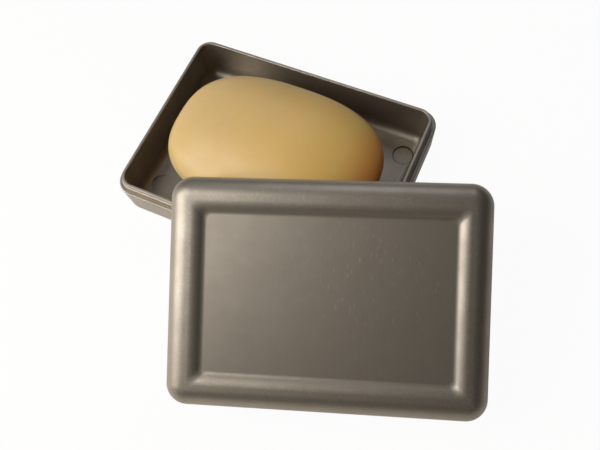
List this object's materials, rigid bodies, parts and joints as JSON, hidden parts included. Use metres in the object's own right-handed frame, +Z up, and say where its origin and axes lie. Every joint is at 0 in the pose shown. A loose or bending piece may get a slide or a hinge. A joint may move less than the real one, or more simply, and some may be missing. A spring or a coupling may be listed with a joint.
{
  "type": "travel soap box",
  "caption": "Open travel soap box: a shallow rectangular tray with a bar of soap in it, and a matching lift-off lid with a round bead and a sunken panel, leaning on the bar.",
  "frame": {"origin": "middle of the tray's foot, on the surface that the box stands on", "axes": "+X along the tray's long side, +Y from its front to its back, +Z up"},
  "size_m": [0.1548, 0.1368, 0.0503],
  "materials": {
    "tray_plastic": "satin metal-pigmented polypropylene",
    "lid_plastic": "satin metal-pigmented polypropylene",
    "soap": "pressed household soap, dull and slightly translucent"
  },
  "bodies": {
    "tray": {"base_tray": "tray_plastic"},
    "soap": {"soap_bar": "soap"},
    "lid": {"lid": "lid_plastic"}
  },
  "joints": [
    {"name": "soap_lift", "type": "slide", "parent": "tray", "child": "soap", "axis": [0, 0, 1], "range_m": [0, 0.06]},
    {"name": "lid_lift", "type": "slide", "parent": "soap", "child": "lid", "axis": [0, 0, 1], "range_m": [0, 0.06]}
  ]
}
